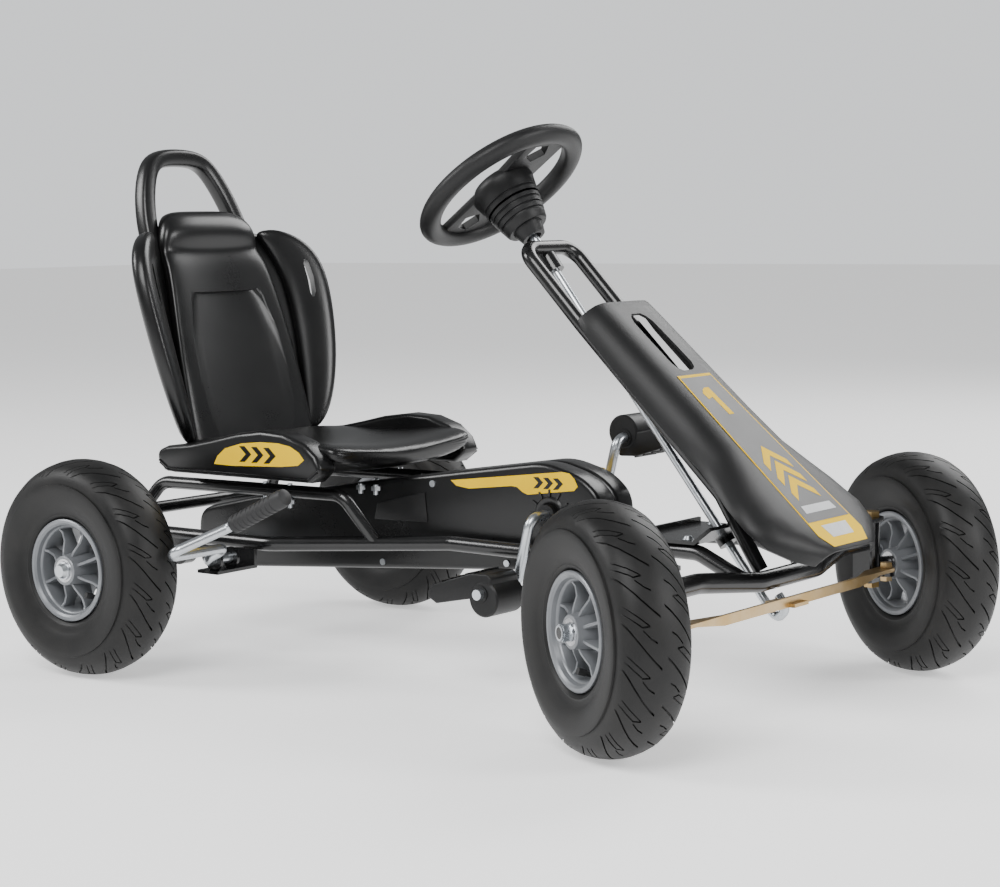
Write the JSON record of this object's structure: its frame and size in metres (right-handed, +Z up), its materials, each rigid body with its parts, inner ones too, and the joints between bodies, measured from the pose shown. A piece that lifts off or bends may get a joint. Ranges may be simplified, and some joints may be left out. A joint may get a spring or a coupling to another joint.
{
  "type": "pedal go kart",
  "caption": "Child's pedal go kart with a tubular frame, pneumatic tyres, moulded seat, front fairing, chain drive, linked steering and a hand brake.",
  "frame": {"origin": "on the ground under the middle of the rear axle", "axes": "+X forward, +Y to the driver's left, +Z up"},
  "size_m": [1.0579, 0.7388, 0.6475],
  "materials": {
    "tyre_rubber": "matt moulded rubber",
    "rim_silver": "silver-grey moulded plastic",
    "bearing_steel": "bright steel",
    "valve_black": "black rubber",
    "frame_paint": "gloss black powder coat",
    "knuckle_paint": "black paint",
    "yellow_zinc": "yellow-passivated zinc plate",
    "bright_zinc": "bright zinc plate",
    "chain_steel": "oiled steel",
    "gloss_black": "gloss black moulded plastic",
    "satin_black": "fine-textured black moulded plastic",
    "pedal_black": "black moulded plastic",
    "grip_rubber": "black soft plastic"
  },
  "bodies": {
    "frame": {"right_side_rail": "frame_paint", "left_side_rail": "frame_paint", "right_seat_rail": "frame_paint", "left_seat_rail": "frame_paint", "rear_cross_tube": "frame_paint", "rear_axle_blocks": "frame_paint", "front_beam": "frame_paint", "kingpins": "yellow_zinc", "steering_fork": "frame_paint", "steering_bushes": "frame_paint", "floor_plate": "frame_paint", "floor_plate_bolts": "bright_zinc", "chain_case_right": "gloss_black", "chain_case_left": "gloss_black", "chain_case_screws": "bright_zinc", "chain": "chain_steel", "crank_bushes": "satin_black", "fairing": "satin_black", "seat": "gloss_black", "seat_bolts": "bright_zinc", "brake_bracket": "frame_paint"},
    "steering": {"steering_column": "bright_zinc", "steering_wheel": "satin_black", "steering_hub_collar": "satin_black"},
    "right_knuckle": {"right_knuckle": "knuckle_paint", "right_stub_nut": "bright_zinc", "right_tie_bolt": "yellow_zinc"},
    "left_knuckle": {"left_knuckle": "knuckle_paint", "left_stub_nut": "bright_zinc", "left_tie_bolt": "yellow_zinc"},
    "tie_rod": {"tie_rod": "yellow_zinc"},
    "front_right_wheel": {"front_right_tyre": "tyre_rubber", "front_right_rim_outer": "rim_silver", "front_right_rim_inner": "rim_silver", "front_right_bearings": "bearing_steel", "front_right_valve": "valve_black"},
    "front_left_wheel": {"front_left_tyre": "tyre_rubber", "front_left_rim_outer": "rim_silver", "front_left_rim_inner": "rim_silver", "front_left_bearings": "bearing_steel", "front_left_valve": "valve_black"},
    "rear_axle": {"rear_axle": "bright_zinc", "rear_axle_caps": "bright_zinc", "rear_sprocket": "chain_steel", "rear_left_tyre": "tyre_rubber", "rear_left_rim_outer": "rim_silver", "rear_left_rim_inner": "rim_silver", "rear_left_bearings": "bearing_steel", "rear_left_valve": "valve_black"},
    "rear_right_wheel": {"rear_right_tyre": "tyre_rubber", "rear_right_rim_outer": "rim_silver", "rear_right_rim_inner": "rim_silver", "rear_right_bearings": "bearing_steel", "rear_right_valve": "valve_black"},
    "crank": {"crank_shaft": "bright_zinc", "chainring": "chain_steel"},
    "right_pedal": {"right_pedal": "pedal_black"},
    "left_pedal": {"left_pedal": "pedal_black"},
    "brake": {"brake_lever": "bright_zinc", "brake_grip": "grip_rubber"}
  },
  "joints": [
    {"name": "steering_turn", "type": "hinge", "parent": "frame", "child": "steering", "pos_m": [0.412, 0, 0.5769], "axis": [0.6139, 0, -0.7894], "range_deg": [-58, 2]},
    {"name": "right_kingpin", "type": "hinge", "parent": "frame", "child": "right_knuckle", "pos_m": [0.776, -0.229, 0.15], "axis": [0, 0, 1], "range_deg": [-2, 58]},
    {"name": "left_kingpin", "type": "hinge", "parent": "frame", "child": "left_knuckle", "pos_m": [0.776, 0.229, 0.15], "axis": [0, 0, 1], "range_deg": [-2, 58]},
    {"name": "tie_rod_pivot", "type": "hinge", "parent": "right_knuckle", "child": "tie_rod", "pos_m": [0.80249, -0.24308, 0.129], "axis": [0, 0, 1], "range_deg": [-58, 2]},
    {"name": "front_right_spin", "type": "hinge", "parent": "right_knuckle", "child": "front_right_wheel", "pos_m": [0.74769, -0.28224, 0.13], "axis": [0.4695, 0.8829, 0], "continuous": true},
    {"name": "front_left_spin", "type": "hinge", "parent": "left_knuckle", "child": "front_left_wheel", "pos_m": [0.80431, 0.28224, 0.13], "axis": [0.4695, 0.8829, 0], "continuous": true},
    {"name": "rear_axle_spin", "type": "hinge", "parent": "frame", "child": "rear_axle", "pos_m": [0, 0, 0.13], "axis": [0, 1, 0], "continuous": true},
    {"name": "rear_right_spin", "type": "hinge", "parent": "rear_axle", "child": "rear_right_wheel", "pos_m": [0, -0.2883, 0.13], "axis": [0, 1, 0], "continuous": true},
    {"name": "crank_spin", "type": "hinge", "parent": "frame", "child": "crank", "pos_m": [0.503, 0, 0.2], "axis": [0, 1, 0], "continuous": true},
    {"name": "right_pedal_spin", "type": "hinge", "parent": "crank", "child": "right_pedal", "pos_m": [0.48157, -0.113, 0.12002], "axis": [0, 1, 0], "continuous": true},
    {"name": "left_pedal_spin", "type": "hinge", "parent": "crank", "child": "left_pedal", "pos_m": [0.52443, 0.113, 0.27998], "axis": [0, 1, 0], "continuous": true},
    {"name": "brake_pull", "type": "hinge", "parent": "frame", "child": "brake", "pos_m": [0.112, -0.17, 0.134], "axis": [0, -1, 0], "range_deg": [0, 13]}
  ],
  "couplings": [
    {"joint": "right_kingpin", "follows": "steering_turn", "ratio": -1},
    {"joint": "left_kingpin", "follows": "steering_turn", "ratio": -1},
    {"joint": "tie_rod_pivot", "follows": "steering_turn", "ratio": 1},
    {"joint": "crank_spin", "follows": "rear_axle_spin", "ratio": 0.5}
  ]
}
